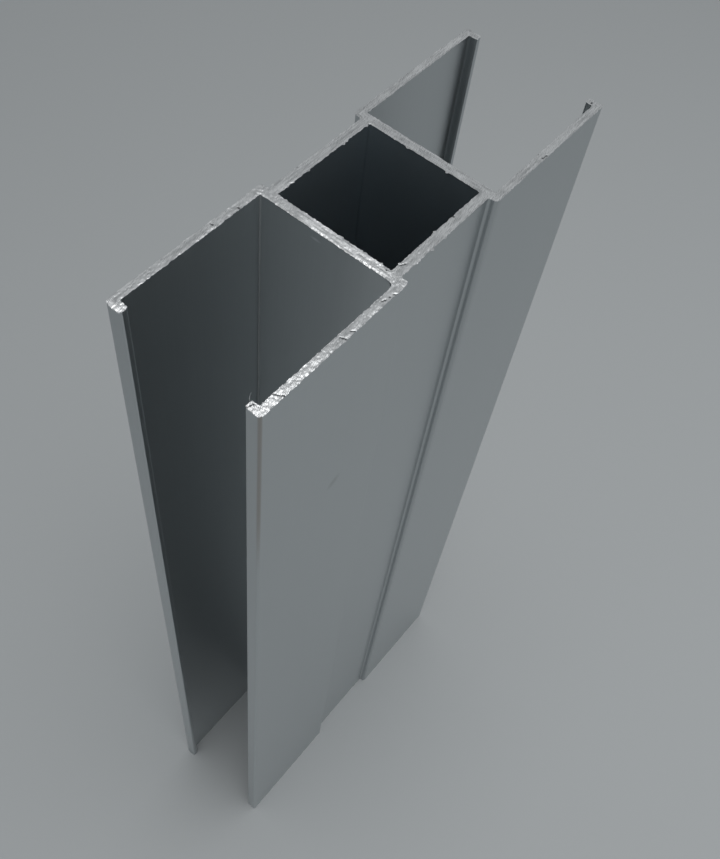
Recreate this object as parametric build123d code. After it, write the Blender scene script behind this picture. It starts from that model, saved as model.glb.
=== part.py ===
from build123d import *
import os

# Aluminium extrusion: a box tube with a lipped channel along each side, one piece of sawn stock.
# It stands on a sawn end. X runs across the wide side, Y through the depth with the longer
# lips at the back, +Y, and Z along the extrusion. The origin is in the middle of the lower end.

# Overall sizes of the cut piece
width = 75.0
depth = 25.0
length = 193.0

# Box tube in the middle of the section, closed by two side webs and by a front and a back wall
box_width = 22.5
web_wall = 1.5
box_wall = 1.5
box_recess = 1.35

# Flanges that run out from the webs, and the lips turned in along their edges
flange_wall = 1.2
lip_wall = 1.2
front_lip_reach = 1.2
back_lip_reach = 1.5

# Corner radii: along the outer edges, at the step down to the box walls, inside the channels,
# behind and on the tips of the lips, and inside the box
edge_round = 0.4
step_round = 0.6
step_fillet = 0.5
root_fillet = 0.2
lip_fillet = 0.3
tip_round = 0.35
box_fillet = 0.3

# A radius takes up no more than this share of the face that it runs into
round_limit_share = 0.45


def limited(radius, *faces):
    """A corner radius that leaves a flat on each of the faces beside the corner."""
    return min(radius, *(round_limit_share * face for face in faces))


# Faces of the section, measured from its middle
half_width = width / 2
half_depth = depth / 2
web_outside = box_width / 2
web_inside = web_outside - web_wall
flange_inside = half_depth - flange_wall
lip_inside = half_width - lip_wall
front_tip = front_lip_reach - flange_inside
back_tip = flange_inside - back_lip_reach
box_outside = half_depth - box_recess
box_inside = box_outside - box_wall

# Right half of the outline as x, y and corner radius, from the front wall of the box out along
# the front flange, round the channel and back along the rear flange. The webs run through to the
# flange faces, so the step down to the box wall is in line with the inside of the web.
right_half = [
    (web_inside, -box_outside, limited(step_fillet, box_recess)),
    (web_inside, -half_depth, limited(step_round, box_recess)),
    (half_width, -half_depth, limited(edge_round, flange_wall, lip_wall)),
    (half_width, front_tip, limited(tip_round, lip_wall, front_lip_reach)),
    (lip_inside, front_tip, limited(tip_round, lip_wall, front_lip_reach)),
    (lip_inside, -flange_inside, limited(lip_fillet, front_lip_reach)),
    (web_outside, -flange_inside, root_fillet),
    (web_outside, flange_inside, root_fillet),
    (lip_inside, flange_inside, limited(lip_fillet, back_lip_reach)),
    (lip_inside, back_tip, limited(tip_round, lip_wall, back_lip_reach)),
    (half_width, back_tip, limited(tip_round, lip_wall, back_lip_reach)),
    (half_width, half_depth, limited(edge_round, flange_wall, lip_wall)),
    (web_inside, half_depth, limited(step_round, box_recess)),
    (web_inside, box_outside, limited(step_fillet, box_recess)),
]
left_half = [(-x, y, radius) for x, y, radius in reversed(right_half)]
outline = right_half + left_half

with BuildPart() as profile:
    with BuildSketch():
        with BuildLine():
            FilletPolyline(
                *[(x, y) for x, y, radius in outline],
                radius=[radius for x, y, radius in outline],
                close=True,
            )
        make_face()
        RectangleRounded(2 * web_inside, 2 * box_inside, box_fillet, mode=Mode.SUBTRACT)
    extrude(amount=length)

os.makedirs("parts", exist_ok=True)
export_step(profile.part, "parts/extrusion_profile.step")
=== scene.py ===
import itertools
import math

import bmesh
import bpy
from mathutils import Euler, Matrix, Vector, kdtree, noise


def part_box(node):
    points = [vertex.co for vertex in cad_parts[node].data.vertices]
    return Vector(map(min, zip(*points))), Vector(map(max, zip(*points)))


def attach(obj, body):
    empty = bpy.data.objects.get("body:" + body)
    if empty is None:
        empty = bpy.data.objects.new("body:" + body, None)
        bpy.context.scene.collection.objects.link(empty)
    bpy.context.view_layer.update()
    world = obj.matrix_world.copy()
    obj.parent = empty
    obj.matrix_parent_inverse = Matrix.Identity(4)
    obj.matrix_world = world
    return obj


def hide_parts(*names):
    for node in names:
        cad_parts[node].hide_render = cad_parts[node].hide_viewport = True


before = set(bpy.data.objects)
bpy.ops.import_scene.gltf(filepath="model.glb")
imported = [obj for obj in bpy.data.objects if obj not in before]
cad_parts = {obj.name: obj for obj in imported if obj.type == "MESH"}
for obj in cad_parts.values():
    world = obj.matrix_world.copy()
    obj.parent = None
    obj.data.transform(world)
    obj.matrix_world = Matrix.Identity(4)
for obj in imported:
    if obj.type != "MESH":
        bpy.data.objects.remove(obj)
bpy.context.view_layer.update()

# The profile. One length of aluminium, pushed hot through a die, which leaves faint lines along it,
# and sawn off at both ends, which leaves the metal bright, torn into small facets and burred.
mm = 0.001
profile_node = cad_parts["extrusion_profile"]
low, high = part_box("extrusion_profile")
merge_reach = 0.001 * mm
flat_angle = math.radians(0.05)

bar = bmesh.new()
bar.from_mesh(profile_node.data)
bmesh.ops.remove_doubles(bar, verts=bar.verts, dist=merge_reach)
bmesh.ops.dissolve_limit(bar, angle_limit=flat_angle, verts=bar.verts[:], edges=bar.edges[:])

# Each end is cut into small cells: rings below the saw cut, then a grid through those rings.
ring_depths = (0.1 * mm, 0.22 * mm, 0.4 * mm, 0.65 * mm, 1.1 * mm)
worked_depth = ring_depths[-1]
top_cell = 0.14 * mm
foot_cell = 0.4 * mm
upright = Vector((0, 0, 1))
grid_ways = ((Vector((1, 0, 0)), high.x), (Vector((0, 1, 0)), high.y))


def slice_parts(bar, parts, place, across):
    """Cuts parts of the mesh along the plane through a place, and gives back all that they become."""
    cut = bmesh.ops.bisect_plane(bar, geom=parts, dist=merge_reach, plane_co=place, plane_no=across)
    return cut["geom"]


def parts_near(bar, level):
    """The parts of the mesh that lie within the rings of a saw cut."""
    verts = [v for v in bar.verts if abs(v.co.z - level) < worked_depth + merge_reach]
    near = set(verts)
    edges = [e for e in bar.edges if near.issuperset(e.verts)]
    faces = [f for f in bar.faces if near.issuperset(f.verts)]
    return verts + edges + faces


def cut_into_cells(bar, level, inward, cell):
    for depth in ring_depths:
        whole = bar.verts[:] + bar.edges[:] + bar.faces[:]
        slice_parts(bar, whole, Vector((0, 0, level + inward * depth)), upright)
    parts = parts_near(bar, level)
    for across, reach in grid_ways:
        count = int(reach / cell)
        for step in range(-count, count):
            parts = slice_parts(bar, parts, across * (step + 0.5) * cell, across)


cut_into_cells(bar, high.z, -1, top_cell)
cut_into_cells(bar, low.z, 1, foot_cell)
bar.normal_update()

# The walls of the section, and its faces measured from the middle.
box_width = 22.5 * mm
web_wall = 1.5 * mm
flange_wall = 1.2 * mm
lip_wall = 1.2 * mm
web_outside = box_width / 2
web_inside = web_outside - web_wall
near_web = web_wall / 2 - web_outside
flange_inside = high.y - flange_wall
lip_inside = high.x - lip_wall

# The saw broke out over the near channel. There the front flange and the lips are torn into shards,
# and the near web's cut has a painted highlight. A span runs from where a thing sets in to where it is
# full.
break_out = Vector((-1, -1, 0)).normalized()
front_span = (1.8 * mm - flange_inside, 0.3 * mm - flange_inside)
near_span = (low.x + 15.5 * mm, low.x + 0.5 * mm)
lip_span = (0.8 * mm - lip_inside, -0.2 * mm - lip_inside)
lip_back_span = (flange_inside - 0.7 * mm, flange_inside + 0.3 * mm)
rough_span = (25 * mm, -12 * mm)
patch_size = 5 * mm
patch_even = 0.5
far_torn = 0.05
near_torn = 0.12
patch_torn = 0.16
web_torn = 0.2
back_lip_torn = 0.5
flange_torn = 0.85
flange_patch_torn = 0.3
torn_bright_power = 3
# Where the near web's cut gets its painted highlight, its base strength and its streaks.
web_bright_span = (8 * mm, 1 * mm)
web_bright = 0.65
web_bright_streaks = 2.0

# Shards, grain, streaks along the walls, and pits in the cut. Each kind of shard has its length,
# its width, its slope and the step up or down to the next one.
saw_turn = math.radians(18)
shard_kinds = (
    (1.1 * mm, 0.32 * mm, 0.12, 0.025 * mm),
    (0.45 * mm, 0.16 * mm, 0.26, 0.015 * mm),
)
shard_lean = 0.9
lean_span = (-16 * mm, -36 * mm)
cell_stride = 37.3
grain_size = 0.05 * mm
even_grain = 0.008 * mm
torn_grain = 0.025 * mm
streak_width = 0.2 * mm
streak_length = 2.2 * mm
streak_height = 0.02 * mm
pit_size = 0.3 * mm
pit_share = 0.006
pit_depth = 0.03 * mm

# Edges rolled over, and burrs and torn tabs pushed out along them. One inside corner of the near
# channel is filled with smeared metal.
roll_width = 0.35 * mm
roll_drop = 0.1 * mm
roll_span = (2 * mm, -12 * mm)
far_roll = 0.25
roll_waves = ((1.7 * mm, 0.9), (0.43 * mm, 0.4))
roll_even = 0.32
burr_waves = ((1.6 * mm, 0.04 * mm), (0.7 * mm, 0.06 * mm), (0.28 * mm, 0.11 * mm))
burr_even = 0.12
burr_notch = -0.3
burr_depth = 0.13 * mm
tab_size = 0.55 * mm
tab_start = 0.25
tab_reach = 0.7 * mm
tab_span = (12 * mm, 10 * mm)
fill_corner = Vector((-web_outside, -flange_inside))
fill_size = 0.8 * mm
fill_reach = 0.32 * mm

# Cracks and chips in the cut: where each starts and ends on the section, in millimetres. Seven are
# on the near front flange, its lip and the box wall beyond it, one on the back and one on the far side.
cracks = (
    ((-34.0, -11.4), (-33.2, -12.6)),
    ((-37.5, -10.3), (-36.5, -10.65)),
    ((-22.4, -11.7), (-22.0, -12.6)),
    ((-20.8, -12.0), (-20.4, -12.4)),
    ((-14.5, -11.9), (-14.0, -12.1)),
    ((-12.6, -12.3), (-12.3, -12.6)),
    ((-8.3, -9.9), (-7.5, -10.3)),
    ((-19.6, 11.9), (-19.7, 12.2)),
    ((21.5, -12.2), (22.5, -12.3)),
)
crack_reach = 0.11 * mm
crack_depth = 0.05 * mm

# A flap of torn metal is folded down over the outside of the near back lip, and sawn metal is
# folded a little way down the sides of the torn edges.
flap_span = (lip_span[1], low.x)
flap_middle = 10.9 * mm
flap_flat = 0.5 * mm
flap_end = 1.4 * mm
flap_hang = 0.55 * mm
flap_bulge = 0.2 * mm
fold_depth = 0.34 * mm
fold_size = 1.1 * mm
fold_even = 0.35

# Each end, and each kind of wave on it, has noise of its own.
top_seed = 3.7
foot_seed = 11.2
roll_seed = 5
burr_seed = 9
tab_seed = 14
fold_seed = 21


def clamp(value):
    return min(1.0, max(0.0, value))


def ramp(value, start, end):
    """Rises smoothly from 0 at start to 1 at end."""
    share = clamp((value - start) / (end - start))
    return share * share * (3 - 2 * share)


def wave(place, size, seed):
    """Smooth noise from about -1 to 1 over the section, with features of that size."""
    return noise.noise(Vector((place.x / size, place.y / size, seed)))


def on_near_web(place):
    return 1 - ramp(abs(place.x - near_web), web_wall / 2, web_wall)


def tornness(place, seed):
    """How torn the metal is at a place: near 0 where it is cleanly sawn, and 1 where it is all shards."""
    patch = patch_even + wave(place, patch_size, seed)
    even = far_torn + (near_torn + patch_torn * patch) * ramp(place.x, *rough_span)
    flange = ramp(place.y, *front_span) * ramp(place.x, *near_span)
    flange *= flange_torn + flange_patch_torn * patch
    lip = ramp(place.x, *lip_span) * (1 - ramp(place.y, *lip_back_span))
    lip *= back_lip_torn if place.y > 0 else 1
    return even + max(lip, flange, web_torn * on_near_web(place))


def on_flap(place):
    return ramp(place.x, *flap_span) * (1 - ramp(abs(place.y - flap_middle), flap_flat, flap_end))


def shard_height(place, seed):
    """Height of the tilted shards, which are drawn out along the saw and lean towards the break."""
    turned = Matrix.Rotation(-saw_turn, 2) @ place.xy
    lean = shard_lean * ramp(place.x, *lean_span) * break_out
    height = 0.0
    for length, width, slope, step in shard_kinds:
        spot = Vector((turned.x / length, turned.y / width, seed))
        centre = noise.voronoi(spot)[1][0]
        # A cell vector runs from 0 to 1 each way, and a tilt from -1 to 1.
        tilt = noise.cell_vector(centre * cell_stride) * 2 - Vector((1, 1, 1)) - lean
        away = spot - centre
        height += slope * (tilt.x * away.x * length + tilt.y * away.y * width) + step * tilt.z
    return height


def crack_drop(place):
    """How far a crack sinks below the cut at a place."""
    for start, end in cracks:
        start = Vector(start) * mm
        along = Vector(end) * mm - start
        share = clamp((place.xy - start).dot(along) / along.length_squared)
        if (place.xy - start - share * along).length < crack_reach:
            return crack_depth
    return 0.0


# A face that leans more than this towards an end belongs to the cut, and any other to the sides.
cut_facing = 0.5


def bends_inward(side, other):
    """True where two side faces meet in an inside corner."""
    apart = other.calc_center_median() - side.calc_center_median()
    return (other.normal - side.normal).dot(apart) < -merge_reach


def ways_out(bar, level):
    """The way out of the metal at each point on the sides of an end, and the points in inside corners."""
    outward = {}
    inside_corners = set()
    for vert in bar.verts:
        if abs(vert.co.z - level) >= worked_depth - merge_reach:
            continue
        sides = [f for f in vert.link_faces if abs(f.normal.z) < cut_facing]
        if not sides:
            continue
        total = sum((f.normal for f in sides), Vector((0, 0, 0)))
        outward[vert] = Vector((total.x, total.y, 0)).normalized()
        if any(bends_inward(f, g) for f, g in itertools.combinations(sides, 2)):
            inside_corners.add(vert)
    return outward, inside_corners


def tear_cut(cut, outward, inward, seed):
    """How far each point of a cut is raised or sunk. Each point also keeps how its metal looks: its
    tornness, painted shade in its cracks and pits, its streaks and its painted highlight.
    """
    edge = [v for v in cut if v in outward]
    tree = kdtree.KDTree(len(edge))
    for index, vert in enumerate(edge):
        tree.insert(vert.co, index)
    tree.balance()
    moves = {}
    for vert in cut:
        place = vert.co
        nearest, index, distance = tree.find(place)
        torn = tornness(place, seed)
        cracked = crack_drop(place)
        height = torn * shard_height(place, seed) - cracked
        height += noise.cell(place / grain_size) * (even_grain + torn * torn_grain)

        row = Vector((distance / streak_width, place.x / streak_length, place.y / streak_length))
        streak = noise.noise(row)
        height += streak_height * streak

        facing = (1 + outward[edge[index]].dot(break_out)) / 2
        roll = roll_even + sum(part * wave(place, size, seed + roll_seed) for size, part in roll_waves)
        roll *= far_roll + (1 - far_roll) * ramp(place.x, *roll_span)
        height -= roll_drop * facing * max(0.0, roll) * (1 - ramp(distance, 0, roll_width))

        # Cell noise runs from -1 to 1, so its topmost share is twice as wide.
        pitted = noise.cell(place / pit_size) > 1 - 2 * pit_share
        if pitted:
            height -= pit_depth

        # Painted highlight on the channel side of the near web's cut.
        web_highlight = on_near_web(place) * clamp(web_bright + web_bright_streaks * streak)
        web_highlight *= ramp(place.y, *web_bright_span) * (1 - ramp(place.y, *front_span))
        vert[torn_layer] = torn
        # Cracks and pits are marked for painted shade.
        vert[hole_shade_layer] = 1.0 if cracked or pitted else 0.0
        vert[streak_layer] = streak
        # Painted highlight, with the paleness of torn metal: the most torn metal, the flap and the near
        # web's cut are painted pale.
        vert[pale_and_highlight_layer] = max(torn ** torn_bright_power, on_flap(place), web_highlight)
        moves[vert] = Vector((0, 0, -inward * height))
    return moves


def push_sides(outward, inside_corners, level, seed):
    """How far burrs, tabs, the filled corner and the flap push out each point on the sides of an end."""
    moves = {}
    for vert, out in outward.items():
        place = vert.co
        depth = abs(place.z - level)
        torn = tornness(place, seed)
        vert[torn_layer] = torn
        # The sides by the torn edges and the flap get the same painted highlight.
        vert[pale_and_highlight_layer] = max(vert[pale_and_highlight_layer], torn ** torn_bright_power, on_flap(place))

        burr = 0.0
        if vert not in inside_corners:
            for size, reach in burr_waves:
                burr += reach * max(burr_notch, wave(place, size, seed + burr_seed) + burr_even)
            tab = max(0.0, wave(place, tab_size, seed + tab_seed) - tab_start)
            burr += tab_reach * tab * ramp(abs(place.x), *tab_span)
        fill = 1 - ramp((place.xy - fill_corner).length, 0, fill_size)
        push = burr * math.exp(-depth / burr_depth)
        push += fill_reach * fill * (1 - ramp(depth, 0, worked_depth))
        push += flap_bulge * on_flap(place) * (1 - ramp(depth, flap_hang / 2, flap_hang))
        moves[vert] = out * push
    return moves


def tear_end(bar, level, inward, seed):
    cut = [v for v in bar.verts if abs(v.co.z - level) < merge_reach]
    outward, inside_corners = ways_out(bar, level)
    lifts = tear_cut(cut, outward, inward, seed)
    pushes = push_sides(outward, inside_corners, level, seed)
    for vert, move in itertools.chain(lifts.items(), pushes.items()):
        vert.co += move


skin_slot = 0
sawn_slot = 1
looks = ("torn", "hole_shade", "streak", "bright")
torn_layer, hole_shade_layer, streak_layer, pale_and_highlight_layer = (bar.verts.layers.float.new(look) for look in looks)
for face in bar.faces:
    middle = face.calc_center_median()
    is_cut = abs(face.normal.z) > cut_facing
    folded = fold_depth * tornness(middle, top_seed) * (fold_even + wave(middle, fold_size, fold_seed))
    folded = max(folded, flap_hang * on_flap(middle))
    face.smooth = not is_cut
    face.material_index = sawn_slot if is_cut or high.z - middle.z < folded else skin_slot

# The lower end is torn too, but nothing of it goes below the floor.
tear_end(bar, high.z, -1, top_seed)
tear_end(bar, low.z, 1, foot_seed)
for vert in bar.verts:
    vert.co.z = max(vert.co.z, low.z)

# A sliver of metal, as thin as a hair, still hangs on the tip of the near front lip.
sliver_root = Vector((-36.5 * mm, -10.0 * mm, high.z - 0.05 * mm))
sliver_tip = Vector((-35.8 * mm, -9.6 * mm, high.z + 0.55 * mm))
sliver_sag = Vector((-0.1 * mm, 0.05 * mm, 0))
root_radius = 0.04 * mm
tip_radius = 0.01 * mm
sliver_sides = 5
sliver_cuts = 5
sliver_run = sliver_tip - sliver_root
sliver_turn = sliver_run.to_track_quat("Z", "Y").to_matrix().to_4x4()
made = bmesh.ops.create_cone(
    bar, cap_ends=True, segments=sliver_sides, radius1=root_radius, radius2=tip_radius,
    depth=sliver_run.length, matrix=Matrix.Translation((sliver_root + sliver_tip) / 2) @ sliver_turn)
sliver_verts = set(made["verts"])
sliver_edges = [e for e in bar.edges if sliver_verts.issuperset(e.verts)]
long_edges = [e for e in sliver_edges if e.calc_length() > sliver_run.length / 2]
made = bmesh.ops.subdivide_edges(bar, edges=long_edges, cuts=sliver_cuts)
for vert in {v for e in made["geom"] if isinstance(e, bmesh.types.BMEdge) for v in e.verts}:
    share = (vert.co - sliver_root).dot(sliver_run) / sliver_run.length_squared
    # The sag is full halfway along, where the two shares make a quarter, and nothing at the ends.
    vert.co += sliver_sag * 4 * share * (1 - share)
    for face in vert.link_faces:
        face.material_index = sawn_slot
        face.smooth = True

sharp_angle = math.radians(32)
profile_mesh = bpy.data.meshes.new("sawn_profile")
bar.to_mesh(profile_mesh)
bar.free()
profile_mesh.set_sharp_from_angle(angle=sharp_angle)
profile = bpy.data.objects.new("sawn_profile", profile_mesh)
bpy.context.scene.collection.objects.link(profile)
weighted = profile.modifiers.new("even_normals", "WEIGHTED_NORMAL")
weighted.keep_sharp = True
weighted.mode = "FACE_AREA"


class Signal:
    """A socket of a material's nodes. Arithmetic on signals and numbers adds Math nodes."""

    def __init__(self, tree, socket=None):
        self.tree = tree
        self.socket = socket

    def node(self, kind, settings, sockets, output=0):
        """Adds a node of that type: its settings first, then its sockets' values or links."""
        made = self.tree.nodes.new("ShaderNode" + kind)
        for name, value in settings.items():
            setattr(made, name, value)
        for name, value in sockets.items():
            if isinstance(value, Signal):
                self.tree.links.new(value.socket, made.inputs[name])
            else:
                made.inputs[name].default_value = value
        return Signal(self.tree, made.outputs[output] if made.outputs else None)

    def math(self, operation, first, second=0.0):
        return self.node("Math", {"operation": operation}, {0: first, 1: second})

    def __abs__(self):
        return self.math("ABSOLUTE", self)

    def __add__(self, other):
        return self.math("ADD", self, other)

    def __sub__(self, other):
        return self.math("SUBTRACT", self, other)

    def __mul__(self, other):
        return self.math("MULTIPLY", self, other)

    def __rsub__(self, other):
        return self.math("SUBTRACT", other, self)

    __radd__ = __add__
    __rmul__ = __mul__


def new_finish(name):
    """A material with an empty node tree, and the place on the object to start from."""
    finish = bpy.data.materials.new(name)
    finish.use_nodes = True
    finish.node_tree.nodes.clear()
    start = Signal(finish.node_tree)
    return finish, start, start.node("TexCoord", {}, {}, "Object")


def mix(start, share, first, second):
    """Mixes two colours, which are sockets 6 and 7 of the node, and gives its colour output, 2."""
    return start.node("Mix", {"data_type": "RGBA"}, {0: share, 6: first, 7: second}, 2)


def rise(value, outside, inside):
    """Rises smoothly from 0 at outside to 1 at inside."""
    return value.node("MapRange", {"interpolation_type": "SMOOTHSTEP"}, {
        "Value": value, "From Min": outside, "From Max": inside})


# The extruded skin: satin grey with the die's lines along it. Painted shade darkens it in the inside
# corners and by the far step of the groove; it is bluer in the hollow, rubbed along the near front edge,
# and scuffed.
skin_grey = (0.54, 0.57, 0.582, 1)
skin_dark = (0.49, 0.518, 0.529, 1)
line_spacing = 0.35 * mm
line_length = 60 * mm
line_detail = 4.0
line_breaks = 0.65
line_strength = 0.25
line_depth = 0.01 * mm
rubbed_grey = (0.4, 0.385, 0.37, 1)
rub_start = 0.55 * mm
rub_full = 0.2 * mm
rub_heights = (high.z - 45 * mm, high.z - 21 * mm)
# Painted shade for the inside corners of the channels, where each web meets a flange.
root_shade_grey = (0.395, 0.416, 0.426, 1)
root_span = (0.5 * mm, 0.1 * mm)
hollow_grey = (0.54, 0.60, 0.635, 1)
hollow_span = (11 * mm, 10 * mm)
# Painted shade by the far step of the groove.
step_shade_grey = (0.48, 0.507, 0.518, 1)
step_span = (1.7 * mm, 0.4 * mm)
step_faces = (10.5 * mm, 11 * mm)
skin_rough = 0.3
line_rough = 0.12
root_rough = 0.35
hollow_rough = 0.02

# Each scuff has its middle, its reach each way, its turn and its colour.
dull_scuff = (0.43, 0.46, 0.465, 1)
pale_scuff = (0.68, 0.7, 0.72, 1)
scuffs = (
    ((-20.8 * mm, low.y, high.z - 35.9 * mm), (2 * mm, 1 * mm, 1.2 * mm), math.radians(-30), dull_scuff),
    ((-web_outside, 1.6 * mm, high.z - 1.5 * mm), (1 * mm, 1.1 * mm, 0.35 * mm), 0, pale_scuff),
)
scuff_span = (1.0, 0.2)

skin_finish, start, place = new_finish("extruded_skin")
x, y, z = (start.node("SeparateXYZ", {}, {"Vector": place}, axis) for axis in "XYZ")
along_bar = start.node("Mapping", {}, {
    "Vector": place, "Scale": (1 / line_spacing, 1 / line_spacing, 1 / line_length)})
lines = start.node("TexNoise", {}, {
    "Vector": along_bar, "Scale": 1.0, "Detail": line_detail, "Roughness": line_breaks})
rubbed = rise(x, low.x + rub_start, low.x + rub_full) * rise(y, low.y + rub_start, low.y + rub_full)
rubbed = rubbed * rise(z, *rub_heights)
# Painted shade in the inside corners of the channels.
root = rise(abs(abs(x) - web_outside), *root_span) * rise(abs(abs(y) - flange_inside), *root_span)
hollow = rise(abs(x), *hollow_span) * rise(abs(y), *hollow_span)
# Painted shade by the far step of the groove, which widens and softens its bands.
step = rise(abs(x - web_inside), *step_span) * rise(abs(y), *step_faces)
shade = mix(start, lines, skin_dark, skin_grey)
# Of these marks, root and step are painted shade.
marks = ((rubbed, rubbed_grey), (root, root_shade_grey), (hollow, hollow_grey), (step, step_shade_grey))
for mark, grey in marks:
    shade = mix(start, mark, shade, grey)
for centre, reach, turn, grey in scuffs:
    spot = start.node("Mapping", {"vector_type": "TEXTURE"}, {
        "Vector": place, "Location": centre, "Rotation": (0, turn, 0), "Scale": reach})
    away = start.node("VectorMath", {"operation": "LENGTH"}, {0: spot}, "Value")
    shade = mix(start, rise(away, *scuff_span), shade, grey)
relief = start.node("Bump", {}, {"Strength": line_strength, "Distance": line_depth, "Height": lines})
roughness = skin_rough + line_rough * lines + root_rough * root + hollow_rough * hollow
shader = start.node("BsdfPrincipled", {}, {
    "Base Color": shade, "Metallic": 1.0, "Roughness": roughness, "Normal": relief})
start.node("OutputMaterial", {}, {"Surface": shader})

# The sawn metal: grey with fine scratches along the saw and streaks along the walls. Where it is torn it
# is pale with a painted highlight and has painted shade along creases; the cracks and pits have painted
# shade.
sawn_grey = (0.68, 0.69, 0.695, 1)
sawn_dark = (0.39, 0.4, 0.405, 1)
# Pale torn metal, partly a painted highlight where the lamp glints.
torn_and_highlight_grey = (0.96, 0.965, 0.965, 1)
# Painted shade in the cracks and pits.
hole_shade_grey = (0.09, 0.095, 0.1, 1)
# Painted shade along the crease lines between shards.
crease_shade_grey = (0.42, 0.43, 0.44, 1)
scratch_size = (0.9 * mm, 0.11 * mm, 1 * mm)
scratch_detail = 3.0
scratch_depth = 0.1 * mm
crease_size = (0.9 * mm, 0.3 * mm, 1 * mm)
crease_width = 0.07
even_shade = 0.55
streak_shade = 0.8
scratch_shade = 2.0
scratch_middle = 0.5
sawn_rough = 0.2
scratch_rough = 0.18
torn_rough = 0.06

sawn_finish, start, place = new_finish("sawn_metal")
torn, hole_shade, streak, bright = (
    start.node("Attribute", {"attribute_name": look}, {}, "Fac") for look in looks)
along_saw, along_creases = (
    start.node("Mapping", {"vector_type": "TEXTURE"}, {
        "Vector": place, "Rotation": (0, 0, saw_turn), "Scale": size})
    for size in (scratch_size, crease_size))
scratches = start.node("TexNoise", {}, {"Vector": along_saw, "Scale": 1.0, "Detail": scratch_detail})
away = start.node("TexVoronoi", {"feature": "DISTANCE_TO_EDGE"}, {
    "Vector": along_creases, "Scale": 1.0}, "Distance")
# Painted shade along crease lines between the torn shards.
crease_shade = rise(away, crease_width, 0.0) * torn
paleness = even_shade + streak_shade * streak + scratch_shade * (scratches - scratch_middle)
shade = mix(start, paleness, sawn_dark, sawn_grey)
# Painted highlight on the torn metal, then painted shade in the creases and in the cracks and pits.
marks = ((bright, torn_and_highlight_grey), (crease_shade, crease_shade_grey), (hole_shade, hole_shade_grey))
for mark, grey in marks:
    shade = mix(start, mark, shade, grey)
relief = start.node("Bump", {}, {"Strength": 1.0, "Distance": scratch_depth, "Height": scratches * torn})
roughness = sawn_rough + scratch_rough * scratches + torn_rough * torn
shader = start.node("BsdfPrincipled", {}, {
    "Base Color": shade, "Metallic": 1.0, "Roughness": roughness, "Normal": relief})
start.node("OutputMaterial", {}, {"Surface": shader})

profile_mesh.materials.append(skin_finish)
profile_mesh.materials.append(sawn_finish)
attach(profile, "root")
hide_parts("extrusion_profile")

# The floor. A plain pale sheet, painted matt, that the profile stands on. It is part of the stage
# and reaches well past the view.
floor_reach = 3.0
floor_grey = (0.366, 0.382, 0.388, 1)
floor_rough = 0.7
sheet = bmesh.new()
bmesh.ops.create_grid(sheet, x_segments=1, y_segments=1, size=floor_reach)
floor_mesh = bpy.data.meshes.new("floor")
sheet.to_mesh(floor_mesh)
sheet.free()
floor = bpy.data.objects.new("floor", floor_mesh)
bpy.context.scene.collection.objects.link(floor)
floor_finish, start, place = new_finish("floor_paint")
shader = start.node("BsdfPrincipled", {}, {"Base Color": floor_grey, "Roughness": floor_rough})
start.node("OutputMaterial", {}, {"Surface": shader})
floor_mesh.materials.append(floor_finish)

# The light: an even grey room and a large soft lamp overhead.
room_light = 0.5
room_colour = (0.97, 1.0, 1.02, 1)
world = bpy.data.worlds.new("room")
bpy.context.scene.world = world
world.use_nodes = True
world.node_tree.nodes["Background"].inputs["Color"].default_value = room_colour
world.node_tree.nodes["Background"].inputs["Strength"].default_value = room_light

lamp_place = (0.02, -0.18, 0.9)
lamp_width = 0.8
lamp_power = 0.97
lamp_spread = math.radians(80)
lamp_data = bpy.data.lights.new("overhead_lamp", "AREA")
lamp_data.shape = "DISK"
lamp_data.size = lamp_width
lamp_data.energy = lamp_power
lamp_data.spread = lamp_spread
lamp = bpy.data.objects.new("overhead_lamp", lamp_data)
lamp.location = lamp_place
bpy.context.scene.collection.objects.link(lamp)

# The camera looks down on the sawn end, over the open channel.
eye = Vector((-84.87 * mm, -54.39 * mm, 289.06 * mm))
camera_turn = (32.8914, -5.1903, -50.8547)
lens = 42.516
sensor_width = 36.0
nearest_view = 10 * mm
camera_data = bpy.data.cameras.new("camera")
camera_data.lens = lens
camera_data.sensor_width = sensor_width
camera_data.clip_start = nearest_view
camera = bpy.data.objects.new("camera", camera_data)
turned = Euler([math.radians(angle) for angle in camera_turn]).to_matrix().to_4x4()
camera.matrix_world = Matrix.Translation(eye) @ turned
bpy.context.scene.collection.objects.link(camera)
bpy.context.scene.camera = camera
bpy.context.scene.view_settings.view_transform = "Standard"
